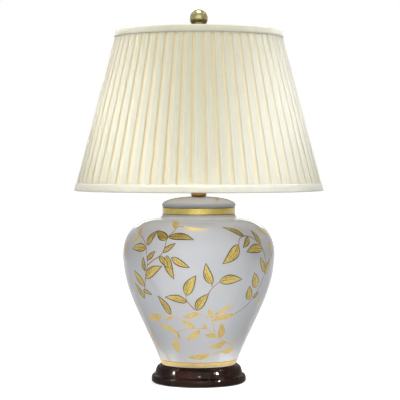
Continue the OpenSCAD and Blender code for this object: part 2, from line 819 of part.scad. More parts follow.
// A turned foot and neck under a ball, bored for the insert and the end of the stud
module finial() {
    ball_r = ball_d / 2;
    base_r = finial_foot_d / 2;
    stem_r = finial_neck_d / 2;
    ball_z = finial_z + finial_base_h + sqrt(ball_r * ball_r - stem_r * stem_r);
    color("gold") difference() {
        union() {
            translate([0, 0, ball_z]) sphere(r = ball_r);
            translate([0, 0, finial_z]) rotate_extrude() polygon(concat(
                [[0, 0], [base_r - 0.6, 0], [base_r, 0.6], [base_r, 2.4],
                 [base_r - 0.6, 3]],
                bezier([base_r - 0.6, 3], [stem_r, 4], [stem_r - 0.6, 6],
                       [stem_r - 0.4, finial_base_h - 2], 6),
                [[stem_r, finial_base_h + 1], [0, finial_base_h + 1]]));
        }
        translate([0, 0, finial_z - 1]) cylinder(r = insert_r + run_gap, h = insert_h + 1.5 + run_gap);
        translate([0, 0, finial_z]) cylinder(r = stud_d / 2 + 0.3, h = stud_l);
    }
}

felt_pad();
wood_stand();
cord_bushing();
rod_nut();
rod_washer();
centre_rod();
foot_gasket();
jar();
jar_lid();
check_ring();
harp_saddle();
harp_wire();
shade_stud();
harp_sleeve(-1);  // harp_sleeve_left
harp_sleeve(1);  // harp_sleeve_right
socket_cap();
cap_set_screw();
socket_interior();
terminal_screws();
socket_liner();
socket_shell();
screw_shell();
centre_contact();
switch_spindle();
switch_key();
bulb_contact();
bulb_insulator();
bulb_cap();
bulb_glass();
fitter_hub();
fitter_arms();
shade_top_ring();
shade_bottom_ring();
shade_ribs();
shade_lining();
pleated_cover();
top_trim();
bottom_trim();
finial_insert();
finial();
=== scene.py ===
import bpy
import bmesh
import math
import random
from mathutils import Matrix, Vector


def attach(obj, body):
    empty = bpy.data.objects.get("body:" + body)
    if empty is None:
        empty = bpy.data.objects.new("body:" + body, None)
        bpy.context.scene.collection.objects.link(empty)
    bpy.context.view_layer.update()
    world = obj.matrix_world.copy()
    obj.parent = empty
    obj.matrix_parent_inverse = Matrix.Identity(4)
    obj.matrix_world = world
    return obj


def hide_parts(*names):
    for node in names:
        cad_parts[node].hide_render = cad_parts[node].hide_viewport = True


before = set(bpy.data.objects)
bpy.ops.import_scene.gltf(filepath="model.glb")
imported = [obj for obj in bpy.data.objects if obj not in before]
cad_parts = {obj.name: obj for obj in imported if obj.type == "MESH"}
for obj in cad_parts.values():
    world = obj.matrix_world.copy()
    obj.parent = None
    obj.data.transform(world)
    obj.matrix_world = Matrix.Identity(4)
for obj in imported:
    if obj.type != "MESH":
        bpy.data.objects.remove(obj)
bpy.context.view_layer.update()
random.seed(7)
mm = 0.001
rodHole = 5.3  # mm, radius of the hole for the threaded rod
scene = bpy.context.scene
scene.view_settings.view_transform = "Standard"

shot = {
    "eye": (0.002, -2.5, 0.365),  # metres, just under the shade's edge
    "dip": 1.567,  # degrees below level
    "lens": 138.1,
}

cameraData = bpy.data.cameras.new("photoCamera")
cameraData.lens = shot["lens"]
cameraData.sensor_width = 36
camera = bpy.data.objects.new("photoCamera", cameraData)
camera.location = shot["eye"]
camera.rotation_euler = (math.radians(90 - shot["dip"]), 0, 0)
scene.collection.objects.link(camera)
scene.camera = camera
print("camera set")


def shade255(r, g, b):  # a colour as it looks on screen, 0 to 255
    def straight(c):
        c /= 255
        return c / 12.92 if c <= 0.04045 else ((c + 0.055) / 1.055) ** 2.4
    return (straight(r), straight(g), straight(b), 1)


# Shader nodes: give inputs by name, as a value or as another node's output
def addNode(mat, kind, inputs=None, **settings):
    made = mat.node_tree.nodes.new("ShaderNode" + kind)
    for key, value in settings.items():
        setattr(made, key, value)
    for key, value in (inputs or {}).items():
        if isinstance(value, bpy.types.NodeSocket):
            mat.node_tree.links.new(value, made.inputs[key])
        else:
            made.inputs[key].default_value = value
    return made


def blankMaterial(name):
    mat = bpy.data.materials.new(name)
    mat.use_nodes = True
    mat.node_tree.nodes.clear()
    return mat


def endMaterial(mat, shader):
    addNode(mat, "OutputMaterial", {"Surface": shader})
    return mat


def placeOn(mat, scale=(1, 1, 1)):
    coords = addNode(mat, "TexCoord").outputs["Object"]
    return addNode(mat, "Mapping", {"Vector": coords, "Scale": scale}).outputs["Vector"]


def noiseOn(mat, where, scale, detail=3.0, rough=0.5, distort=0.0):
    made = addNode(mat, "TexNoise", {"Vector": where, "Scale": scale, "Detail": detail,
                                     "Roughness": rough, "Distortion": distort})
    return made.outputs["Fac"]


# Each stop is a place from 0 to 1 and a colour from 0 to 255
def rampOf(mat, factor, *stops):
    ramp = addNode(mat, "ValToRGB", {"Fac": factor})
    while len(ramp.color_ramp.elements) < len(stops):
        ramp.color_ramp.elements.new(0.5)
    for element, (place, colour) in zip(ramp.color_ramp.elements, stops):
        element.position = place
        element.color = shade255(*colour)
    return ramp.outputs["Color"]


def grey(v):
    return (v, v, v, 1)


def mathOf(mat, operation, a, b):
    return addNode(mat, "Math", {0: a, 1: b}, operation=operation).outputs[0]


def rangeOf(mat, value, fromLow, fromHigh, toLow, toHigh):
    return addNode(mat, "MapRange", {"Value": value, "From Min": fromLow, "From Max": fromHigh,
                                     "To Min": toLow, "To Max": toHigh}).outputs[0]


def bumpOf(mat, height, depth, strength=1.0, under=None):
    inputs = {"Height": height, "Distance": depth, "Strength": strength}
    if under is not None:
        inputs["Normal"] = under
    return addNode(mat, "Bump", inputs).outputs["Normal"]


# A hard finish: two close colours, uneven roughness and a fine bump
def plainFinish(name, light, dark, rough, grain, metal=0.0, stretch=(1, 1, 1),
                relief=0.00005, patch=0.45):
    mat = blankMaterial(name)
    where = placeOn(mat, stretch)
    cloudy = noiseOn(mat, where, grain, 4.0)
    fine = noiseOn(mat, where, grain * 9, 3.0)
    colour = rampOf(mat, cloudy, (0.5 - patch / 2, dark), (0.5 + patch / 2, light))
    shader = addNode(mat, "BsdfPrincipled", {
        "Base Color": colour, "Metallic": metal,
        "Roughness": rangeOf(mat, fine, 0.25, 0.75, *rough),
        "Normal": bumpOf(mat, fine, relief)})
    return endMaterial(mat, shader.outputs[0])


def newPiece(name, verts, faces, material, body, smooth, uvs=None):
    mesh = bpy.data.meshes.new(name)
    mesh.from_pydata([tuple(v) for v in verts], [], faces)
    mesh.validate()
    made = bmesh.new()
    made.from_mesh(mesh)
    bmesh.ops.recalc_face_normals(made, faces=made.faces)
    made.to_mesh(mesh)
    made.free()
    if uvs:
        layer = mesh.uv_layers.new(name="cut")
        for loop in mesh.loops:
            layer.data[loop.index].uv = uvs[loop.vertex_index]
    mesh.materials.append(material)
    mesh.shade_smooth()
    mesh.set_sharp_from_angle(angle=math.radians(smooth))
    piece = bpy.data.objects.new(name, mesh)
    scene.collection.objects.link(piece)
    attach(piece, body)
    return piece


# Points of a cubic curve, after its start
def curveOn(a, b, c, d, count):
    made = []
    for i in range(1, count + 1):
        t = i / count
        s = 1 - t
        made.append(tuple(s**3 * a[k] + 3 * s * s * t * b[k] + 3 * s * t * t * c[k] + t**3 * d[k]
                          for k in range(2)))
    return made


def arcOn(centre, rx, rz, start, stop, count):
    return [(centre[0] + rx * math.cos(math.radians(start + (stop - start) * i / count)),
             centre[1] + rz * math.sin(math.radians(start + (stop - start) * i / count)))
            for i in range(count + 1)]


# Turns a closed outline (radius, height in mm) round the lamp's axis
def turned(name, outline, material, body, around, smooth=40, wobble=None):
    points = [p for i, p in enumerate(outline) if math.dist(p, outline[i - 1]) > 1e-4]
    verts, rings = [], []
    for radius, height in points:
        if radius < 1e-6:
            rings.append([len(verts)] * around)
            verts.append((0, 0, height * mm))
            continue
        ring = []
        for k in range(around):
            turn = 2 * math.pi * k / around
            r = radius + (wobble(turn, radius, height) if wobble else 0.0)
            ring.append(len(verts))
            verts.append((r * mm * math.cos(turn), r * mm * math.sin(turn), height * mm))
        rings.append(ring)
    faces = []
    for i, ring in enumerate(rings):
        over = rings[(i + 1) % len(rings)]
        for k in range(around):
            m = (k + 1) % around
            corners = [ring[k], ring[m], over[m], over[k]]
            face = [c for n, c in enumerate(corners) if c != corners[n - 1]]
            if len(set(face)) > 2:
                faces.append(face)
    return newPiece(name, verts, faces, material, body, smooth)


def cutAway(piece, cutter):
    change = piece.modifiers.new("cut", "BOOLEAN")
    change.operation = "DIFFERENCE"
    change.solver = "EXACT"
    change.object = cutter
    bpy.context.view_layer.update()
    done = bpy.data.meshes.new_from_object(piece.evaluated_get(
        bpy.context.evaluated_depsgraph_get()))
    piece.modifiers.clear()
    piece.data = done
    bpy.data.objects.remove(cutter)


print("tools ready")

stage = {
    "floorColour": (186, 186, 185),
    "floorReach": 16,  # metres
    "roomColour": (255, 246, 232),
    "roomLight": 0.17,  # level of the room round the lamp
    "nearLift": 0.74,  # lifts the seen floor to white, with the lamp's shadow left on it
    "farLift": 1.0,
    "liftFrom": 0.5, "liftTo": 2.4,  # metres from the lamp, between which the lift grows
    "floorZ": -0.0004,
    "lampMiddle": (0, 0, 0.3),  # metres
}


# 1 for what the camera, a gloss or a clear piece shows, 0 for light that falls on a surface
def shownRays(mat):
    paths = addNode(mat, "LightPath")
    return mathOf(mat, "MAXIMUM", paths.outputs["Is Camera Ray"],
                  mathOf(mat, "MAXIMUM", paths.outputs["Is Glossy Ray"],
                         paths.outputs["Is Transmission Ray"]))


paleFinish = blankMaterial("paleFloor")
away = addNode(paleFinish, "VectorMath", {
    0: addNode(paleFinish, "TexCoord").outputs["Object"]}, operation="LENGTH").outputs["Value"]
lift = rangeOf(paleFinish, away, stage["liftFrom"], stage["liftTo"], stage["nearLift"],
               stage["farLift"])
matte = addNode(paleFinish, "BsdfDiffuse", {"Color": shade255(*stage["floorColour"])})
glow = addNode(paleFinish, "Emission", {"Color": grey(1), "Strength": mathOf(
    paleFinish, "MULTIPLY", shownRays(paleFinish), lift)})
endMaterial(paleFinish, addNode(paleFinish, "AddShader", {
    0: matte.outputs[0], 1: glow.outputs[0]}).outputs[0])

floorRim = [(stage["floorReach"] * math.cos(math.radians(a)),
             stage["floorReach"] * math.sin(math.radians(a)), stage["floorZ"])
            for a in range(0, 360, 5)]
floorMesh = bpy.data.meshes.new("studioFloor")
floorMesh.from_pydata(floorRim, [], [list(range(len(floorRim)))])
floorMesh.materials.append(paleFinish)
floor = bpy.data.objects.new("studioFloor", floorMesh)
scene.collection.objects.link(floor)

world = bpy.data.worlds.new("studioRoom")
world.use_nodes = True
world.node_tree.nodes.clear()
room = addNode(world, "Background", {"Color": shade255(*stage["roomColour"]),
                                     "Strength": stage["roomLight"]})
white = addNode(world, "Background", {"Color": grey(1), "Strength": 1.0})
addNode(world, "OutputWorld", {"Surface": addNode(world, "MixShader", {
    0: shownRays(world), 1: room.outputs[0], 2: white.outputs[0]}).outputs[0]})
scene.world = world

# at: azimuth and elevation in degrees and distance in metres, round the middle of the lamp;
# beam: degrees across, as from a gridded softbox; aim: the point it faces
lamps = {
    "keyWindow": {"at": (1, 13, 2.3), "size": (0.24, 0.21), "watts": 0.095, "beam": 7,
                  "aim": (0, 0, 0.115), "colour": (244, 249, 255)},
    "keyLow": {"at": (1, -5.6, 2.4), "size": (0.1, 0.1), "watts": 0.012, "beam": 13,
               "aim": (0, 0, 0.12), "colour": (250, 252, 255)},
    "frontSoft": {"at": (0, 16, 2.7), "size": (3.2, 2.2), "watts": 42,
                  "colour": (250, 252, 255)},
    "sideStrip": {"at": (-42, 11, 2.0), "size": (0.5, 0.03), "watts": 1.1, "roll": 25},
    "leftTop": {"at": (-96, 50, 1.8), "size": (0.6, 0.2), "watts": 0.58, "beam": 10,
                "aim": (-0.1, 0, 0.405), "colour": (238, 241, 255)},
    "rightTop": {"at": (94, 50, 1.8), "size": (0.6, 0.2), "watts": 0.68, "beam": 10,
                 "aim": (0.1, 0, 0.405), "colour": (226, 233, 255)},
    "overhead": {"at": (0, 84, 1.8), "size": (0.8, 0.8), "watts": 29,
                 "colour": (255, 250, 242)},
    "leftWood": {"at": (-73, 12.5, 1.7), "size": (0.5, 0.03), "watts": 0.13, "beam": 2.5,
                 "aim": (-0.02, -0.03, 0.008), "colour": (255, 250, 240)},
    "rightWood": {"at": (53, 16, 1.7), "size": (0.5, 0.03), "watts": 0.13, "beam": 2.5,
                  "aim": (0.02, -0.03, 0.008)},
    "backSoft": {"at": (180, 24, 2.6), "size": (1.8, 1.3), "watts": 30,
                 "colour": (252, 253, 255)},
}


def hangLamp(name, at, size, watts, beam=180, aim=stage["lampMiddle"], roll=0,
             colour=(255, 253, 250)):
    lampData = bpy.data.lights.new(name, "AREA")
    lampData.shape = "ELLIPSE" if size[0] == size[1] else "RECTANGLE"
    lampData.size, lampData.size_y = size
    lampData.energy = watts
    lampData.spread = math.radians(beam)
    lampData.color = shade255(*colour)[:3]
    lamp = bpy.data.objects.new(name, lampData)
    turn, rise = math.radians(at[0]), math.radians(at[1])
    lamp.location = Vector(stage["lampMiddle"]) + at[2] * Vector((
        math.sin(turn) * math.cos(rise), -math.cos(turn) * math.cos(rise), math.sin(rise)))
    lamp.rotation_euler = (Vector(aim) - lamp.location).to_track_quat("-Z", "Y").to_euler()
    lamp.rotation_euler.rotate_axis("Z", math.radians(roll))
    lamp.visible_camera = False
    scene.collection.objects.link(lamp)


for name, choices in lamps.items():
    hangLamp(name, **choices)
print("stage and lamps ready")

# Porcelain
porcelain = {
    "body": (187, 189, 191),
    "pooled": (180, 182, 185),  # where the glaze is thicker
    "rough": 0.12,
    "gloss": 1.18,  # IOR of the glaze
}


def glazeFinish(name, light, dark):
    mat = blankMaterial(name)
    where = placeOn(mat)
    cloudy = noiseOn(mat, where, 9.0, 2.0)
    ripple = noiseOn(mat, where, 34.0, 2.0)
    specks = noiseOn(mat, where, 900.0, 2.0)
    colour = rampOf(mat, cloudy, (0.3, dark), (0.7, light))
    shader = addNode(mat, "BsdfPrincipled", {
        "Base Color": colour, "Roughness": porcelain["rough"], "IOR": porcelain["gloss"],
        "Normal": bumpOf(mat, ripple, 0.00012, 0.5, bumpOf(mat, specks, 0.000004, 0.4))})
    return endMaterial(mat, shader.outputs[0])


glaze = glazeFinish("whiteGlaze", porcelain["body"], porcelain["pooled"])

# Radius and height in mm
jarShape = {
    "foot": (60, 28.2),
    "belly": (123.5, 207),
    "shoulder": (69, 267.2),
    "rim": (58.2, 285.6),
    "wall": 5,
    "floor": 7,
}
jarOutside = [jarShape["foot"]]
jarOutside += curveOn(jarShape["foot"], (89.53, 105.08), (123.5, 148), jarShape["belly"], 56)
jarOutside += curveOn(jarShape["belly"], (123.5, 238.9), (107.4, 264.2), jarShape["shoulder"], 44)
jarOutside += curveOn(jarShape["shoulder"], (62.5, 268.3), (58.6, 271.5), (58.8, 277), 14)
jarOutside += [(58.9, 280), (59, 284.5), (58.85, 285.2)] + [jarShape["rim"]]


# Distance up an outline, so that the gilding can be laid out on its surface
def runsUp(outline):
    runs = [0.0]
    for low, high in zip(outline, outline[1:]):
        runs.append(runs[-1] + math.dist(low, high))
    return runs


jarRun = runsUp(jarOutside)


def runAt(height):
    for i in range(len(jarOutside) - 1):
        if jarOutside[i + 1][1] >= height:
            low, high = jarOutside[i][1], jarOutside[i + 1][1]
            return jarRun[i] + (jarRun[i + 1] - jarRun[i]) * (height - low) / (high - low)
    return jarRun[-1]


def onOutline(outside, runs, run):
    run = min(max(run, 0.0), runs[-1])
    i = 0
    while i < len(runs) - 2 and runs[i + 1] < run:
        i += 1
    share = (run - runs[i]) / (runs[i + 1] - runs[i])
    low, high = outside[i], outside[i + 1]
    along = ((high[0] - low[0]), (high[1] - low[1]))
    size = math.hypot(*along)
    point = (low[0] + along[0] * share, low[1] + along[1] * share)
    return point, (along[1] / size, -along[0] / size)


# A turned surface as two functions: a point on it, with turn in degrees from the front and run
# and lift in mm, and its radius at a run
def surfaceOf(outside, runs):
    def pointAt(turn, run, lift):
        (radius, height), out = onOutline(outside, runs, run)
        radius += out[0] * lift
        height += out[1] * lift
        a = math.radians(turn)
        return (math.sin(a) * radius * mm, -math.cos(a) * radius * mm, height * mm)

    def radiusAt(run):
        return max(onOutline(outside, runs, run)[0][0], 1.0)

    return pointAt, radiusAt


jarPoint, jarRadius = surfaceOf(jarOutside, jarRun)


def inwards(outline, thickness):
    made = []
    for i, p in enumerate(outline):
        a, b = outline[max(i - 1, 0)], outline[min(i + 1, len(outline) - 1)]
        d = (b[0] - a[0], b[1] - a[1])
        size = math.hypot(*d)
        made.append((p[0] - thickness * d[1] / size, p[1] + thickness * d[0] / size))
    return made


jarInside = [p for p in inwards(jarOutside, jarShape["wall"]) if 42 < p[1] < 283.5]
footZ = jarShape["foot"][1]
insideZ = footZ + jarShape["floor"]
jarOutline = ([(rodHole, footZ), (59.2, footZ), (59.9, 28.9)] + jarOutside[1:]
              + [(54.6, jarShape["rim"][1])] + jarInside[::-1]
              + [(59.5, 37.5), (57.5, insideZ), (rodHole, insideZ)])
jar = turned("jar_glazed", jarOutline, glaze, "lamp", around=224, smooth=50)
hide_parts("jar")

lidEdge, lidTop, lidWall = (60.2, 288.6), (14.5, 302.5), 5
lidOutside = [(59, 285.7), (59.8, 286.3), (60.15, 287.4), lidEdge] + curveOn(
    lidEdge, (60.2, 295), (46.96, 300.8), lidTop, 40)
lidPoint, lidRadius = surfaceOf(lidOutside, runsUp(lidOutside))
lidInside = [p for p in inwards(lidOutside, lidWall) if 18 < p[0] < 48]
lidOutline = ([(53, 277.6), (53, 285.6)] + lidOutside
              + [(rodHole, lidTop[1]), (rodHole, lidTop[1] - lidWall)]
              + lidInside[::-1] + [(49, 286.6), (49, 277.6)])
lid = turned("lid_glazed", lidOutline, glaze, "lamp", around=224, smooth=50)
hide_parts("jar_lid")
print("jar and lid turned")

# Gilding
gilding = {
    "leafLift": 0.16,  # mm over the glaze at the middle of a leaf
    "lineLift": 0.24,
    "stemWidth": 1.7,
    "lineWidth": 1.55,
    "sink": -0.12,  # mm under the glaze, where a slab ends
    "backTurn": 176,  # degrees
}


def giltFinish(name, light, dark, metal, rough, streaks=(60, 60, 22)):
    mat = blankMaterial(name)
    where = placeOn(mat)
    brushed = noiseOn(mat, placeOn(mat, streaks), 9.0, 3.0, 0.6)
    cloudy = noiseOn(mat, where, 45.0, 3.0)
    both = mathOf(mat, "MULTIPLY", mathOf(mat, "ADD", brushed, cloudy), 0.5)
    colour = rampOf(mat, both, (0.38, dark), (0.6, light))
    roughness = rangeOf(mat, brushed, 0.3, 0.7, rough - 0.06, rough + 0.08)
    shader = addNode(mat, "BsdfPrincipled", {
        "Base Color": colour, "Metallic": metal, "Roughness": roughness,
        "Normal": bumpOf(mat, brushed, 0.00003, 0.6)})
    return endMaterial(mat, shader.outputs[0])


brightGilt = giltFinish("brightGilt", (196, 174, 92), (164, 138, 60), 0.5, 0.32)
softGilt = giltFinish("softGilt", (206, 182, 118), (180, 150, 84), 0.25, 0.42)
bandGilt = giltFinish("bandGilt", (186, 170, 98), (164, 146, 74), 0.75, 0.3, (20, 20, 90))
brownGilt = plainFinish("brownGilt", (150, 116, 58), (118, 86, 38), metal=0.3,
                        rough=(0.3, 0.42), grain=140, relief=0.00001)
inkLine = plainFinish("brownLine", (62, 44, 20), (40, 27, 11),
                      rough=(0.3, 0.42), grain=140, relief=0.00001)


# Flat slabs that lie on a glazed surface; the surface is any function of turn, run and lift
class Slabs:
    def __init__(self, surface):
        self.surface, self.verts, self.faces = surface, [], []

    # rows of (turn, run, lift), each row across the slab
    def lay(self, rows):
        start, width = len(self.verts), len(rows[0])
        for row in rows:
            for turn, run, lift in row:
                self.verts.append(self.surface(turn, run, lift))
        under = len(self.verts)
        for row in rows:
            for turn, run, lift in row:
                self.verts.append(self.surface(turn, run, gilding["sink"]))

        def at(base, i, j):
            return base + i * width + j

        count = len(rows)
        for i in range(count - 1):
            for j in range(width - 1):
                top = [at(start, i, j), at(start, i, j + 1), at(start, i + 1, j + 1),
                       at(start, i + 1, j)]
                self.faces.append(top)
                self.faces.append([v - start + under for v in top[::-1]])
        edge = ([(0, j) for j in range(width)] + [(i, width - 1) for i in range(1, count)]
                + [(count - 1, j) for j in range(width - 2, -1, -1)]
                + [(i, 0) for i in range(count - 2, 0, -1)])
        for (i, j), (m, n) in zip(edge, edge[1:] + edge[:1]):
            self.faces.append([at(start, i, j), at(under, i, j), at(under, m, n),
                               at(start, m, n)])

    def piece(self, name, material):
        newPiece(name, self.verts, self.faces, material, "lamp", 60)


# Steps off a place on a surface by mm to the right and up it
def stepOff(radiusOf, base, right, up):
    run = base[1] + up
    return base[0] + math.degrees(right / radiusOf(run)), run


def smoothPath(points, per=7):
    made = []
    for i in range(len(points) - 1):
        a = points[max(i - 1, 0)]
        b, c = points[i], points[i + 1]
        d = points[min(i + 2, len(points) - 1)]
        for k in range(per):
            t = k / per
            made.append(tuple(0.5 * (2 * b[n] + (c[n] - a[n]) * t
                                     + (2 * a[n] - 5 * b[n] + 4 * c[n] - d[n]) * t * t
                                     + (3 * b[n] - a[n] - 3 * c[n] + d[n]) * t**3)
                              for n in range(2)))
    return made + [points[-1]]


# A raised line along a path of (turn, run), width in mm at each end
def drawLine(slabs, radiusOf, path, wideStart, wideEnd, lift):
    rows = []
    for i, (turn, run) in enumerate(path):
        a, b = path[max(i - 1, 0)], path[min(i + 1, len(path) - 1)]
        dx = math.radians(b[0] - a[0]) * radiusOf(run)
        dy = b[1] - a[1]
        size = math.hypot(dx, dy) or 1.0
        side = (-dy / size, dx / size)
        share = i / (len(path) - 1)
        half = 0.5 * (wideStart + (wideEnd - wideStart) * share)
        row = []
        for off, up in ((-1, 0.02), (-0.5, 0.8), (0.5, 0.8), (1, 0.02)):
            place = stepOff(radiusOf, (turn, run), side[0] * off * half, side[1] * off * half)
            row.append((place[0], place[1], max(lift * up, 0.02)))
        rows.append(row)
    slabs.lay(rows)


# A leaf from base to tip, both (turn, run): pointed, fullest under its middle, with a bow.
# Its outline and midrib go into lines, if given
def drawLeaf(fill, lines, radiusOf, base, tip, wide, bow):
    middle = 0.5 * (base[1] + tip[1])
    dx = math.radians(tip[0] - base[0]) * radiusOf(middle)
    dy = tip[1] - base[1]
    size = math.hypot(dx, dy)
    ahead, side = (dx / size, dy / size), (-dy / size, dx / size)

    def at(share, across, lift):
        bend = bow * size * math.sin(math.pi * share)
        right = ahead[0] * share * size + side[0] * (across + bend)
        up = ahead[1] * share * size + side[1] * (across + bend)
        place = stepOff(radiusOf, base, right, up)
        return place[0], place[1], lift

    def halfAt(share):
        return 0.5 * wide * (math.sin(math.pi * share**0.78)) ** 0.85 * (1 - 0.18 * share)

    shares = [0.01, 0.05, 0.12, 0.22, 0.34, 0.47, 0.6, 0.72, 0.83, 0.91, 0.96, 0.99]
    rows = []
    for share in shares:
        half = max(halfAt(share), 0.12)
        rows.append([at(share, half * k, gilding["leafLift"] * (1 - 0.75 * k * k) + 0.02)
                     for k in (-1, -0.6, -0.2, 0.2, 0.6, 1)])
    fill.lay(rows)
    if lines:
        edge = gilding["lineWidth"]
        for sign in (-1, 1):
            rows = []
            for share in [-0.01] + shares + [1.02]:
                inside = min(max(share, 0.005), 0.995)
                half = halfAt(inside) if 0 < share < 1 else 0.0
                here = edge * (0.75 + 0.35 * math.sin(math.pi * inside))
                rows.append([at(share, sign * (half - 0.35 * here), 0.10),
                             at(share, sign * (half + 0.1 * here), gilding["lineLift"]),
                             at(share, sign * (half + 0.65 * here), 0.02)])
            lines.lay(rows)
        rows = []
        for share in (0.02, 0.15, 0.3, 0.45, 0.6, 0.72):
            half = 0.5 * edge * (1 - share)
            rows.append([at(share, -half, 0.12), at(share, 0, gilding["lineLift"] + 0.04),
                         at(share, half, 0.12)])
        lines.lay(rows)
        if wide > 10:  # a vein beside the midrib
            rows = []
            for share in (0.2, 0.34, 0.48, 0.62):
                off, half = 0.27 * wide * math.sin(math.pi * share), 0.32 * edge
                rows.append([at(share, off - half, 0.1), at(share, off, gilding["lineLift"]),
                             at(share, off + half, 0.1)])
            lines.lay(rows)


# Sprigs on the front. Places are (degrees from the front, height in mm). Leaves run from
# base to tip and give their width in mm and their bow.
sprigs = [
    {"dark": True,
     "stems": [[(-51, 142), (-49, 152), (-44, 177), (-41, 200), (-43, 225), (-48, 237),
                (-54, 243)],
               [(-41, 196), (-36, 204), (-29, 213), (-26, 224), (-25, 240), (-21, 250),
                (-19, 257)], [(-19, 257), (-16, 258), (-13, 257)]],
     "leaves": [((-42, 228), (-37, 251), 11, 0.05), ((-43, 223), (-59, 221), 13, -0.06),
                ((-41, 205), (-34, 219), 7, 0.0), ((-44, 187), (-45, 209), 7, 0.04),
                ((-44, 176), (-28, 196), 14, 0.06), ((-47, 163), (-57, 186), 12, 0.0),
                ((-50, 155), (-41, 150), 6, 0.05), ((-51, 143), (-59, 166), 9, 0.0),
                ((-25, 238), (-36, 251), 14, 0.05), ((-24, 242), (-4, 238), 12, 0.08),
                ((-27, 218), (-18, 232), 7, 0.0), ((-30, 211), (-23, 194), 9, 0.06),
                ((-24, 213), (-19, 177), 13, -0.05), ((-20, 210), (-7, 195), 10, -0.03)],
     "soft": [((-54, 241), (-62, 257), 9, 0.05), ((-54, 241), (-64, 231), 9, 0.05),
              ((-20, 254), (-27, 266), 12, 0.0), ((-14, 256), (9, 254), 9, -0.05),
              ((-71, 234), (-75, 211), 11, 0.05)]},
    {"dark": True,
     "stems": [[(38, 243), (44, 241), (51, 233), (56, 221), (59, 203), (60, 181), (55, 158),
                (51, 142), (43, 128), (34, 119)], [(38, 243), (33, 238), (31, 228)]],
     "leaves": [((31, 229), (18, 201), 17, 0.07), ((42, 241), (35, 225), 8, 0.08),
                ((55, 221), (38, 218), 14, -0.08), ((38, 242), (23, 256), 9, -0.06),
                ((54, 228), (50, 250), 9, 0.0), ((59, 184), (52, 208), 10, 0.0),
                ((60, 181), (68, 204), 11, 0.05), ((51, 160), (46, 184), 15, 0.0),
                ((47, 141), (43, 163), 13, 0.05), ((51, 143), (57, 152), 6, 0.0)],
     "soft": [((74, 240), (59, 253), 12, 0.0), ((70, 232), (73, 202), 12, 0.04),
              ((62, 128), (66, 140), 9, 0.0), ((34, 118), (14, 116), 11, 0.06)]},
    {"dark": True,
     "stems": [[(-3, 127), (-7, 135), (-10, 143), (-10, 152)], [(7, 152), (11, 164), (16, 172)],
               [(10, 165), (10, 170)]],
     "leaves": [((-10, 140), (-28, 147), 12, -0.07), ((-10, 151), (-2, 182), 16, 0.06),
                ((-2, 127), (8, 153), 14, 0.06), ((10, 169), (5, 201), 13, 0.07),
                ((16, 173), (34, 175), 15, 0.05)],
     "soft": []},
    {"stems": [[(58, 40), (52, 55), (45, 64), (34, 72), (19, 83), (10, 94), (3, 97), (-4, 97),
                (-15, 110), (-24, 116), (-31, 120), (-38, 116)],
               [(-4, 97), (-14, 95), (-23, 90)], [(18, 84), (15, 97), (13, 109), (8, 115),
                                                  (-1, 122)],
               [(-26, 90), (-28, 84), (-28, 76)], [(50, 58), (40, 57), (24, 54), (15, 52)]],
     "leaves": [((-26, 119), (-35, 148), 11, -0.05)],
     "soft": [((-37, 115), (-57, 110), 15, 0.04), ((-24, 116), (-35, 109), 6, 0.06),
              ((-4, 98), (-17, 110), 10, 0.0), ((7, 95), (5, 105), 8, 0.0),
              ((1, 94), (-14, 76), 13, 0.07), ((-23, 89), (-45, 99), 10, -0.08),
              ((-22, 90), (-23, 76), 6, 0.0), ((-28, 76), (-28, 55), 15, 0.0),
              ((20, 83), (6, 86), 10, 0.0), ((25, 80), (22, 105), 14, -0.04),
              ((34, 72), (12, 65), 12, 0.06), ((45, 66), (47, 77), 5, 0.0),
              ((48, 57), (28, 57), 11, 0.0), ((15, 52), (-15, 48), 12, 0.04),
              ((13, 113), (8, 131), 8, 0.0), ((14, 118), (30, 139), 8, -0.04),
              ((13, 110), (25, 111), 6, 0.05), ((0, 122), (-15, 115), 11, 0.05)]},
    {"stems": [[(-46, 39), (-51, 52), (-59, 62), (-66, 74), (-78, 80)]],
     "leaves": [],
     "soft": [((-58, 61), (-61, 74), 6, 0.0), ((-67, 75), (-64, 92), 8, 0.0),
              ((-78, 80), (-93, 88), 11, 0.05)]},
]

# The same sprigs go round the back, turned half way and a little out of step
giltLeaves, softLeaves, giltStems, darkStems, leafLines = (Slabs(jarPoint) for _ in range(5))
for turnBy in (0, gilding["backTurn"]):
    def placed(p):
        return (p[0] + turnBy, runAt(p[1]))

    for sprig in sprigs:
        for stem in sprig["stems"]:
            path = smoothPath([placed(p) for p in stem])
            drawLine(darkStems if sprig.get("dark") else giltStems, jarRadius, path,
                     gilding["stemWidth"], 1.1, 0.18)
        for kind, fill, lines in (("leaves", giltLeaves, leafLines), ("soft", softLeaves, None)):
            for base, tip, wide, bow in sprig[kind]:
                drawLeaf(fill, lines, jarRadius, placed(base), placed(tip), wide, bow)
giltLeaves.piece("gilt_leaves", brightGilt)
softLeaves.piece("soft_gilt_leaves", softGilt)
giltStems.piece("gilt_stems", softGilt)
darkStems.piece("brown_gilt_stems", brownGilt)
leafLines.piece("leaf_lines", inkLine)

lidLeaves = Slabs(lidPoint)
for turnBy in range(0, 360, 90):
    for base, tip in (((-56 + turnBy, 14), (-40 + turnBy, 31)),
                      ((-34 + turnBy, 36), (-50 + turnBy, 34))):
        drawLeaf(lidLeaves, None, lidRadius, base, tip, 7, 0.05)
lidLeaves.piece("lid_leaves", softGilt)


# A painted band between two heights, a little proud of the glaze
def paintBand(name, low, high, lift, material):
    steps = max(int((high - low) / 0.8), 3)  # one about every 0.8 mm
    runs = [runAt(low) + (runAt(high) - runAt(low)) * i / steps for i in range(steps + 1)]
    rows = []
    for i, run in enumerate(runs):
        (radius, height), out = onOutline(jarOutside, jarRun, run)
        up = lift if 0 < i < steps else 0.0
        rows.append((radius + out[0] * up, height + out[1] * up))
    inner = [(r - 0.3, h) for r, h in rows]
    turned(name, rows + inner[::-1], material, "lamp", around=224, smooth=50)


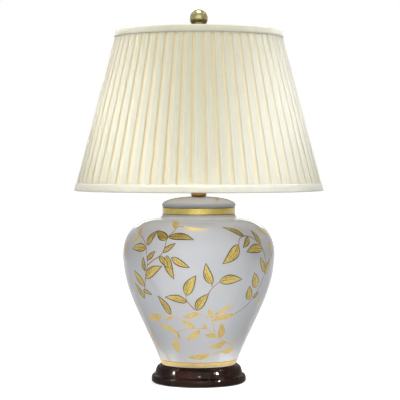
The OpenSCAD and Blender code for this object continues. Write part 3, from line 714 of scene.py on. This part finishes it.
# Lowest and highest height and lift off the glaze, in mm
for band in (("neck_band", 275, 284.6, 0.12, bandGilt),
             ("neck_band_low_edge", 273.8, 275.2, 0.16, brownGilt),
             ("neck_band_high_edge", 283.9, 284.9, 0.16, brownGilt),
             ("foot_band", 31.2, 38.4, 0.12, softGilt),
             ("foot_band_high_edge", 38.0, 39.0, 0.15, brownGilt)):
    paintBand(*band)
print("gilding laid")

# Turned stand
stand = {
    "light": (36, 15, 9),
    "middle": (24, 9, 5),
    "dark": (15, 5, 3),
    "gloss": 0.16,  # weight of the lacquer
    "polish": 0.13,  # roughness of the lacquer
    "cordZ": 8,  # mm
}
woodFinish = blankMaterial("darkPolishedWood")
grain = noiseOn(woodFinish, placeOn(woodFinish, (1, 9, 9)), 11.0, 5.0, 0.62, 0.6)
pores = noiseOn(woodFinish, placeOn(woodFinish, (1, 22, 22)), 70.0, 2.0)
woodColour = rampOf(woodFinish, grain, (0.32, stand["dark"]), (0.55, stand["middle"]),
                    (0.72, stand["light"]))
endMaterial(woodFinish, addNode(woodFinish, "BsdfPrincipled", {
    "Base Color": woodColour, "Roughness": 0.5, "Specular IOR Level": 0.0,
    "Coat Weight": stand["gloss"], "Coat IOR": 1.5, "Coat Roughness": stand["polish"],
    "Normal": bumpOf(woodFinish, pores, 0.00002, 0.5)}).outputs[0])

standOutline = (
    [(24, 15), (24, 1.5), (75.6, 1.5), (76.5, 1.9), (77, 2.6)]
    + arcOn((74, 7), 3, 6, 0, 90, 18)
    + arcOn((74, 16.2), 2.9, 3.2, 270, 180, 12)
    + curveOn((71.1, 16.2), (70.6, 18.6), (69.8, 21.2), (68.6, 24.4), 12)
    + curveOn((68.6, 24.4), (67.6, 26.8), (64.6, 28.2), (62.5, 29.5), 12)
    + arcOn((61.9, 29.9), 0.7, 0.6, 30, 150, 8)
    + [(61.2, 29.9), (61.2, 27), (rodHole, 27), (rodHole, 15)])
standPiece = turned("turned_stand", standOutline, woodFinish, "lamp", around=224,
                    smooth=32)
# The cord's way out at the back, and the seat of its bushing
for radius, start, length in ((4.5, 20, 60), (6.1, 75.6, 4)):
    bpy.ops.mesh.primitive_cylinder_add(
        vertices=64, radius=radius * mm, depth=length * mm,
        location=(0, (start + length / 2) * mm, stand["cordZ"] * mm), rotation=(math.pi / 2, 0, 0))
    cutAway(standPiece, bpy.context.active_object)
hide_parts("wood_stand")

feltFinish = blankMaterial("greenFelt")
fuzz = noiseOn(feltFinish, placeOn(feltFinish), 1500.0, 3.0, 0.7)
mottle = noiseOn(feltFinish, placeOn(feltFinish), 160.0, 3.0)
endMaterial(feltFinish, addNode(feltFinish, "BsdfPrincipled", {
    "Base Color": rampOf(feltFinish, mottle, (0.3, (28, 52, 38)), (0.7, (44, 74, 54))),
    "Roughness": 0.95, "Sheen Weight": 0.4, "Sheen Roughness": 0.5,
    "Normal": bumpOf(feltFinish, fuzz, 0.0003)}).outputs[0])
felt = turned("felt_disc", [(0, 0), (73.9, 0), (74.4, 0.4), (74.5, 0.9), (74.3, 1.5), (0, 1.5)],
              feltFinish, "lamp", around=160)
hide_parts("felt_pad")
print("stand turned")


# Brass: lacquered, with fine turning marks round the axis
def brassFinish(name, light, dark, rough, marks=420.0):
    mat = blankMaterial(name)
    coords = addNode(mat, "TexCoord").outputs["Object"]
    split = addNode(mat, "SeparateXYZ", {"Vector": coords})
    lines = addNode(mat, "TexNoise", {"W": mathOf(mat, "MULTIPLY", split.outputs["Z"], marks),
                                      "Scale": 14.0, "Detail": 2.0},
                    noise_dimensions="1D").outputs["Fac"]
    cloudy = noiseOn(mat, placeOn(mat), 70.0, 3.0)
    colour = rampOf(mat, cloudy, (0.3, dark), (0.7, light))
    shader = addNode(mat, "BsdfPrincipled", {
        "Base Color": colour, "Metallic": 1.0,
        "Roughness": rangeOf(mat, lines, 0.3, 0.7, *rough),
        "Normal": bumpOf(mat, lines, 0.000006)})
    return endMaterial(mat, shader.outputs[0])


satinBrass = brassFinish("satinBrass", (156, 149, 108), (136, 128, 86), (0.2, 0.3))
ringBrass = brassFinish("polishedBrass", (214, 164, 84), (186, 132, 58), (0.08, 0.14))
wireBrass = brassFinish("wireBrass", (212, 180, 112), (188, 152, 84), (0.24, 0.34), 200.0)
bareBrass = brassFinish("bareBrass", (206, 166, 92), (176, 132, 62), (0.3, 0.42), 300.0)

ringLow, ringTube = lidTop[1], 3  # mm; the second is the radius of the ring's round edge
ringOutline = ([(rodHole, ringLow), (10.5, ringLow)]
               + arcOn((10, ringLow + ringTube), ringTube, ringTube, -80, 80, 24)
               + [(10.5, ringLow + 2 * ringTube), (rodHole, ringLow + 2 * ringTube)])
checkRing = turned("rod_ring", ringOutline, ringBrass, "lamp", around=128)
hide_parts("check_ring")

ballZ, ballRadius = 592.05, 15
finialOutline = ([(3.45, 581), (3.45, 566.3), (7.4, 566.3), (8, 566.9), (8, 568.7), (7.4, 569.3)]
                 + curveOn((7.4, 569.3), (6, 570.3), (5.4, 572.3), (5.6, 576.3), 10)
                 + arcOn((0, ballZ), ballRadius, ballRadius, -66.4, 90, 60) + [(0, 581)])
finial = turned("ball_finial", finialOutline, satinBrass, "finial_knob",
                around=128, smooth=35)
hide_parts("finial")
print("brass turned")

# Shade
shade = {
    "lowZ": 312.1, "highZ": 571.1,
    "lowFrame": 197.946, "highFrame": 129.946,  # radius of the wire frame at those heights
    "pleats": 60,
    "flatShare": 0.66,
    "clothPerPleat": 31.4,  # mm of cloth taken up by each pleat
    "clothThick": 0.3,
    "turnsTake": 3.2,  # mm of cloth in a pleat's rounded turns
    "leastTuck": 0.6, "tuckGap": 0.35,
    "rows": 26,
    "inset": 1.0,  # mm from each end of the frame to the cloth
    "sway": (-0.35, 0.35),  # mm that a pleat leans, at its foot and at its head
    "puff": (0.9, 1.1), "puffLift": 0.12,
    "flatLevel": 3.9,  # mm; folds above it belong to the flat of the pleat
    "topLevel": 4.1,
    "cutHeight": 0.267,  # metres
}

# Two close colours for each cloth
cloths = {
    "silk": ((224, 222, 201), (217, 214, 190)),
    # Painted light: the valleys' warmer, brighter colour is a painted glow of light through the
    # single layer of silk
    "valley": ((241, 229, 186), (236, 222, 174)),  # where one layer lets the light through
    # Painted light: a lighter cream strip beside each valley, for light passing the single layer
    "valleyEdge": ((237, 233, 212), (231, 226, 203)),
    "lining": ((240, 236, 222), (232, 226, 208)),
    "binding": ((217, 215, 196), (210, 208, 187)),
    # Painted shade: the bottom binding is a darker copy of the binding's cloth, for the less light
    # it gets
    "shadedLowBinding": ((208, 206, 188), (204, 202, 183)),
}


def frameRadius(height):
    share = (height - shade["lowZ"]) / (shade["highZ"] - shade["lowZ"])
    return shade["lowFrame"] + (shade["highFrame"] - shade["lowFrame"]) * share


# Cloth with crossing threads laid out on the flat cut, in metres
def clothFinish(name, colours, threads, through, slub=0.35):
    light, dark = colours
    mat = blankMaterial(name)
    uv = addNode(mat, "TexCoord").outputs["UV"]
    waves = []
    for turn in (0, math.pi / 2):
        tilted = addNode(mat, "Mapping", {"Vector": uv, "Rotation": (0, 0, turn)}).outputs[0]
        waves.append(addNode(mat, "TexWave", {
            "Vector": tilted, "Scale": threads, "Distortion": 1.2, "Detail": 1.0,
            "Detail Scale": 0.6}).outputs["Fac"])
    weave = mathOf(mat, "MAXIMUM", waves[0], waves[1])
    streak = addNode(mat, "TexNoise", {"Vector": addNode(mat, "Mapping", {
        "Vector": uv, "Scale": (900, 40, 1)}).outputs[0], "Scale": 1.0, "Detail": 3.0}
    ).outputs["Fac"]
    cloudy = addNode(mat, "TexNoise", {"Vector": uv, "Scale": 26.0, "Detail": 3.0}).outputs["Fac"]
    tone = mathOf(mat, "ADD", mathOf(mat, "MULTIPLY", streak, slub),
                  mathOf(mat, "MULTIPLY", cloudy, 1 - slub))
    colour = rampOf(mat, tone, (0.36, dark), (0.64, light))
    normal = bumpOf(mat, weave, 0.00008, 0.6)
    shader = addNode(mat, "BsdfPrincipled", {
        "Base Color": colour, "Roughness": 0.62, "Sheen Weight": 0.25,
        "Sheen Roughness": 0.4, "Specular IOR Level": 0.3, "Normal": normal})
    glowing = addNode(mat, "BsdfTranslucent", {"Color": colour, "Normal": normal})
    mixed = addNode(mat, "MixShader", {0: through, 1: shader.outputs[0], 2: glowing.outputs[0]})
    return endMaterial(mat, mixed.outputs[0])


silk = clothFinish("pleatedSilk", cloths["silk"], 900, 0.22, slub=0.8)
# Silk for the valleys and their edges, coloured with painted light
valleySilk = clothFinish("pleatedSilkValley", cloths["valley"], 900, 0.3, slub=0.8)
litEdgeSilk = clothFinish("pleatedSilkValleyEdge", cloths["valleyEdge"], 900, 0.3, slub=0.8)
liningCloth = clothFinish("shadeLining", cloths["lining"], 700, 0.3)
bindingCloth = clothFinish("bindingCloth", cloths["binding"], 1100, 0.08, slub=0.2)
# The bottom binding's cloth, darkened with painted shade
shadedLowBindingCloth = clothFinish("shadedLowBindingCloth", cloths["shadedLowBinding"], 1100, 0.08, slub=0.2)


def thicken(piece, thickness):
    change = piece.modifiers.new("thickness", "SOLIDIFY")
    change.thickness = thickness * mm
    change.offset = -1


# One pleat's folds across the cloth, as (place across in mm, level over the frame in mm)
def pleatFolds(pitch):
    half = shade["flatShare"] * pitch / 2
    under = max((shade["clothPerPleat"] - pitch - shade["turnsTake"]) / 4, shade["leastTuck"])
    under = min(under, half - shade["tuckGap"])
    right = [(half - 0.3, 3.93), (half, 3.84), (half + 0.12, 3.66), (half - 0.05, 3.5),
             (half - 0.6, 3.42), (half - under, 3.38), (half - under - 0.1, 3.2),
             (half - under, 3.02), (half - 0.6, 2.98), (half + 0.9, 2.94)]
    left = [(-x, level) for x, level in reversed(right)]
    flat = [(-half * 0.55, 3.98), (0, 4.0), (half * 0.55, 3.98)]
    return left + flat + right + [(pitch / 2, 3.1)]


pleatVerts, pleatUvs = [], []
coverLow, coverHigh = shade["lowZ"] + shade["inset"], shade["highZ"] - shade["inset"]
wander = [(random.uniform(*shade["sway"]), random.uniform(*shade["sway"]),
           random.uniform(*shade["puff"])) for _ in range(shade["pleats"])]
for row in range(shade["rows"] + 1):
    share = row / shade["rows"]
    height = coverLow + (coverHigh - coverLow) * share
    radius = frameRadius(height)
    pitch = 2 * math.pi * (radius + 3) / shade["pleats"]
    folds = pleatFolds(pitch)
    clothAt = 0.0
    for k in range(shade["pleats"]):
        leanLow, leanHigh, puff = wander[k]
        sway = (leanLow * (1 - share) + leanHigh * share) * math.sin(math.pi * share)
        last = None
        for across, level in folds:
            rise = shade["puffLift"] * (puff - 1) * 10 if level > shade["flatLevel"] else 0
            lift = level + rise * math.sin(math.pi * share)
            angle = 2 * math.pi * k / shade["pleats"] + (across + sway) / radius
            r = radius + min(lift, shade["topLevel"])
            pleatVerts.append((r * mm * math.cos(angle), r * mm * math.sin(angle), height * mm))
            here = (across + k * pitch, level)
            if last is not None:
                clothAt += math.dist(last, here)
            last = here
            pleatUvs.append((clothAt * mm, share * shade["cutHeight"]))
        clothAt += pitch - (folds[-1][0] - folds[0][0])
perPleat = len(folds)
pleatColumns = perPleat * shade["pleats"]
flatPart, valleyPart, litEdgePart = 0, 1, 2
partOf = {perPleat - 3: valleyPart, perPleat - 2: valleyPart, perPleat - 1: litEdgePart,
          0: litEdgePart, 9: litEdgePart}  # by face across a pleat
pleatFaces, pleatParts = [], []
for row in range(shade["rows"]):
    for col in range(pleatColumns):
        a = row * pleatColumns + col
        b = row * pleatColumns + (col + 1) % pleatColumns
        pleatFaces.append((a, b, b + pleatColumns, a + pleatColumns))
        pleatParts.append(partOf.get(col % perPleat, flatPart))
cover = newPiece("box_pleated_cover", pleatVerts, pleatFaces, silk, "shade", 80,
                 pleatUvs)
# The valley faces get the painted glow, their edges the painted lighter strip
cover.data.materials.append(valleySilk)
cover.data.materials.append(litEdgeSilk)
for face, part in zip(cover.data.polygons, pleatParts):
    face.material_index = part
thicken(cover, shade["clothThick"])
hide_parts("pleated_cover")


# A thin cone of cloth, drawn in a little between the frame's eight ribs, with its cut laid out
# in metres
def coneCloth(name, low, high, offset, rows, around, material):
    verts, uvs, faces = [], [], []
    ribs, pull = 8, 0.25
    for row in range(rows + 1):
        height = low + (high - low) * row / rows
        radius = frameRadius(height) + offset
        for k in range(around):
            angle = 2 * math.pi * k / around
            tug = (pull * math.cos(ribs * (angle - math.pi / ribs))
                   * math.sin(math.pi * row / rows))
            verts.append(((radius + tug) * mm * math.cos(angle),
                          (radius + tug) * mm * math.sin(angle), height * mm))
            uvs.append((angle * 0.16, row / rows * 0.265))
    for row in range(rows):
        for k in range(around):
            a, b = row * around + k, row * around + (k + 1) % around
            faces.append((a, b, b + around, a + around))
    return newPiece(name, verts, faces, material, "shade", 80, uvs)


lining = coneCloth("shade_lining_cloth", shade["lowZ"] + 1.2, shade["highZ"] - 1.2, -1.95, 20,
                   192, liningCloth)
thicken(lining, 0.25)
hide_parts("shade_lining")


# A binding folded over an edge of the shade: outside, over the edge and inside. Its section is
# in mm off the frame and in from the edge
def foldedBinding(name, edge, inward, width, cloth):
    def at(level, depth):
        height = edge + inward * depth
        return (frameRadius(height) + level, height)

    loop = [at(5.0, 1.0), at(5.05, 2.4), at(5.0, width * 0.5), at(4.98, width - 0.7),
            at(4.75, width - 0.1), at(4.4, width), at(4.25, width - 0.4), at(4.25, 1.0),
            at(-2.4, 1.0), at(-2.4, 7.7), at(-2.7, 8.0), at(-3.1, 7.7), at(-3.15, 1.0),
            at(-2.6, 0.25), at(-1.6, 0.02), at(3.6, 0.02), at(4.6, 0.3)]

    def ripple(turn, radius, height):
        out = radius - frameRadius(height)
        if out < 4.5:
            return 0.0
        return -0.13 + 0.1 * math.cos(shade["pleats"] * turn) * min(abs(height - edge) / 6, 1)

    piece = turned(name, loop, cloth, "shade", around=480, smooth=60, wobble=ripple)
    layer = piece.data.uv_layers.new(name="cut")
    for face in piece.data.polygons:
        turns = [math.atan2(piece.data.vertices[v].co.y, piece.data.vertices[v].co.x)
                 for v in face.vertices]
        wrap = max(turns) - min(turns) > math.pi
        for loopIndex, v, turn in zip(face.loop_indices, face.vertices, turns):
            if wrap and turn < 0:
                turn += 2 * math.pi
            point = piece.data.vertices[v].co
            layer.data[loopIndex].uv = (turn * 0.19, point.z + math.hypot(point.x, point.y))
    return piece


topBinding = foldedBinding("top_binding", shade["highZ"], -1, 11, bindingCloth)
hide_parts("top_trim")
shadedLowBinding = foldedBinding("bottom_binding", shade["lowZ"], 1, 12.5, shadedLowBindingCloth)
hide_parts("bottom_trim")
print("shade sewn")

# Finishes for the pieces that keep their solid shape
blackPlastic = plainFinish("blackPlastic", (34, 33, 32), (24, 23, 23),
                           rough=(0.34, 0.46), grain=160)
platedSteel = plainFinish("platedSteel", (196, 196, 192), (168, 168, 166),
                          metal=1.0, rough=(0.22, 0.36), grain=130)
cork = plainFinish("corkGasket", (176, 132, 88), (120, 80, 48),
                   rough=(0.8, 0.95), grain=320, relief=0.0002, patch=0.3)
brownMoulding = plainFinish("brownMoulding", (84, 46, 26), (58, 30, 18),
                            rough=(0.3, 0.42), grain=90)
linerCard = plainFinish("linerCard", (196, 160, 112), (170, 134, 88),
                        rough=(0.75, 0.9), grain=240, stretch=(1, 1, 6))
bulbMetal = plainFinish("bulbMetal", (206, 204, 198), (180, 178, 172),
                        metal=1.0, rough=(0.26, 0.4), grain=180)
vitrite = plainFinish("blackGlass", (26, 24, 30), (16, 14, 18), rough=(0.1, 0.2), grain=120)
whiteWire = plainFinish("whitePaintedWire", (232, 230, 222), (220, 217, 206),
                        rough=(0.36, 0.5), grain=150, relief=0.00003)

opal = blankMaterial("opalGlass")
haze = noiseOn(opal, placeOn(opal), 40.0, 2.0)
opalShader = addNode(opal, "BsdfPrincipled", {
    "Base Color": rampOf(opal, haze, (0.3, (238, 236, 230)), (0.7, (246, 245, 241))),
    "Roughness": 0.12, "IOR": 1.5, "Coat Weight": 0.4, "Coat Roughness": 0.04,
    "Normal": bumpOf(opal, haze, 0.00002)})
opalThrough = addNode(opal, "BsdfTranslucent", {"Color": shade255(244, 242, 236)})
endMaterial(opal, addNode(opal, "MixShader", {
    0: 0.3, 1: opalShader.outputs[0], 2: opalThrough.outputs[0]}).outputs[0])

finishes = {
    "cord_bushing": blackPlastic, "switch_key": blackPlastic,
    "rod_nut": platedSteel, "rod_washer": platedSteel, "centre_rod": platedSteel,
    "cap_set_screw": platedSteel,
    "foot_gasket": cork,
    "socket_interior": brownMoulding, "socket_liner": linerCard,
    "terminal_screws": bareBrass, "screw_shell": bareBrass, "centre_contact": bareBrass,
    "finial_insert": bareBrass,
    "socket_cap": satinBrass, "socket_shell": satinBrass, "switch_spindle": satinBrass,
    "harp_saddle": wireBrass, "harp_wire": wireBrass, "shade_stud": wireBrass,
    "harp_sleeve_left": wireBrass, "harp_sleeve_right": wireBrass,
    "fitter_hub": wireBrass, "fitter_arms": wireBrass,
    "shade_top_ring": whiteWire, "shade_bottom_ring": whiteWire, "shade_ribs": whiteWire,
    "bulb_contact": bulbMetal, "bulb_cap": bulbMetal, "bulb_insulator": vitrite,
    "bulb_glass": opal,
}
for nodeName, finish in finishes.items():
    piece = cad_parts[nodeName]
    if piece.material_slots:
        for holder in piece.material_slots:
            holder.material = finish
    else:
        piece.data.materials.append(finish)
print("solid pieces finished")
